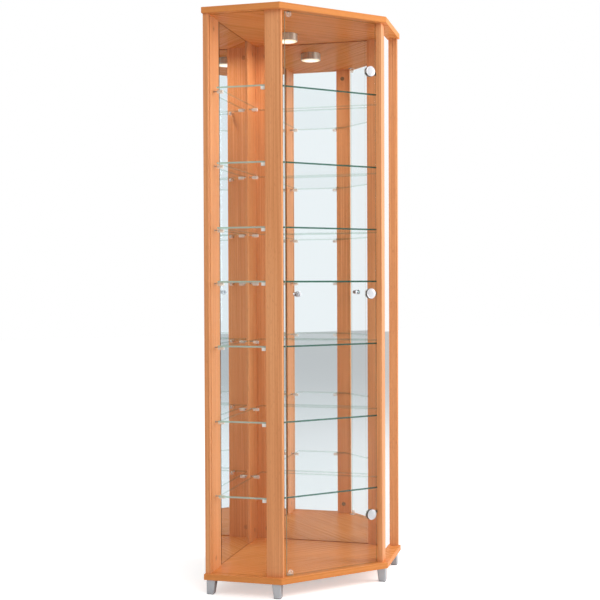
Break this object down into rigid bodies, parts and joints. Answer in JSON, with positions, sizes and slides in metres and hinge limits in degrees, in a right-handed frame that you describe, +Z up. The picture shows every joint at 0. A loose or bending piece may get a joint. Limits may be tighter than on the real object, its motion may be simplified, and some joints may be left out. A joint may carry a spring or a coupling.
{
  "type": "corner display cabinet",
  "caption": "Tall five-sided corner curio cabinet with wooden uprights, mirrored back, glass sides, glass shelves, hinged glass door and ceiling lamp.",
  "frame": {"origin": "on the floor, under the middle of the bounding box", "axes": "+Z up, the door faces -Y, the room corner is at +Y, +X is to the right when facing the door"},
  "size_m": [0.7142, 0.5268, 1.74],
  "materials": {
    "beech_panel": "satin laminate",
    "beech_board": "satin laminate",
    "dowel_wood": "raw",
    "clear_glass": "polished",
    "mirror": "silvered",
    "nickel": "satin",
    "chrome": "polished",
    "zinc": "plated",
    "brushed_metal": "brushed",
    "grey_plastic": "satin",
    "clear_plastic": "clear",
    "frosted_glass": "frosted",
    "bulb_glass": "clear",
    "ceramic": "matte"
  },
  "bodies": {
    "cabinet": {"board_cam_fittings": "zinc", "bottom_panel": "beech_panel", "cable_grommet": "grey_plastic", "cam_bolts": "zinc", "dowels": "dowel_wood", "foot_screws": "zinc", "hinge_screws": "zinc", "lamp_bulb": "bulb_glass", "lamp_holder": "ceramic", "lamp_housing": "brushed_metal", "lamp_lens": "frosted_glass", "lamp_screws": "zinc", "left_corner_board": "beech_board", "left_front_foot": "grey_plastic", "left_front_post": "beech_board", "left_mirror": "mirror", "left_side_board": "beech_board", "left_side_glass": "clear_glass", "left_wall_foot": "grey_plastic", "lower_door_stop": "clear_plastic", "lower_hinge_arm": "nickel", "middle_hinge_arm": "nickel", "post_cam_fittings": "zinc", "post_shelf_pins": "nickel", "rear_foot": "grey_plastic", "right_corner_board": "beech_board", "right_front_foot": "grey_plastic", "right_front_post": "beech_board", "right_mirror": "mirror", "right_side_board": "beech_board", "right_side_glass": "clear_glass", "right_wall_foot": "grey_plastic", "shelf_1": "clear_glass", "shelf_2": "clear_glass", "shelf_3": "clear_glass", "shelf_4": "clear_glass", "shelf_5": "clear_glass", "shelf_6": "clear_glass", "shelf_7": "clear_glass", "stop_screws": "zinc", "top_panel": "beech_panel", "upper_door_stop": "clear_plastic", "upper_hinge_arm": "nickel", "wall_shelf_pins": "nickel"},
    "door": {"door_glass": "clear_glass", "hinge_washers": "clear_plastic", "hinge_pins": "zinc", "lock_body": "chrome", "lock_nut": "zinc", "lower_hinge_cap": "chrome", "lower_hinge_leaf": "nickel", "middle_hinge_cap": "chrome", "middle_hinge_leaf": "nickel", "upper_hinge_cap": "chrome", "upper_hinge_leaf": "nickel"},
    "lock": {"lock_plug": "chrome", "lock_cam": "zinc", "cam_screw": "zinc"}
  },
  "joints": [
    {"name": "door_hinge", "type": "hinge", "parent": "cabinet", "child": "door", "pos_m": [0.14851, -0.2381, 0.892], "axis": [0, 0, 1], "range_deg": [0, 95]},
    {"name": "lock_turn", "type": "hinge", "parent": "door", "child": "lock", "pos_m": [-0.11701, -0.2464, 0.892], "axis": [0, 1, 0], "range_deg": [0, 180]}
  ]
}
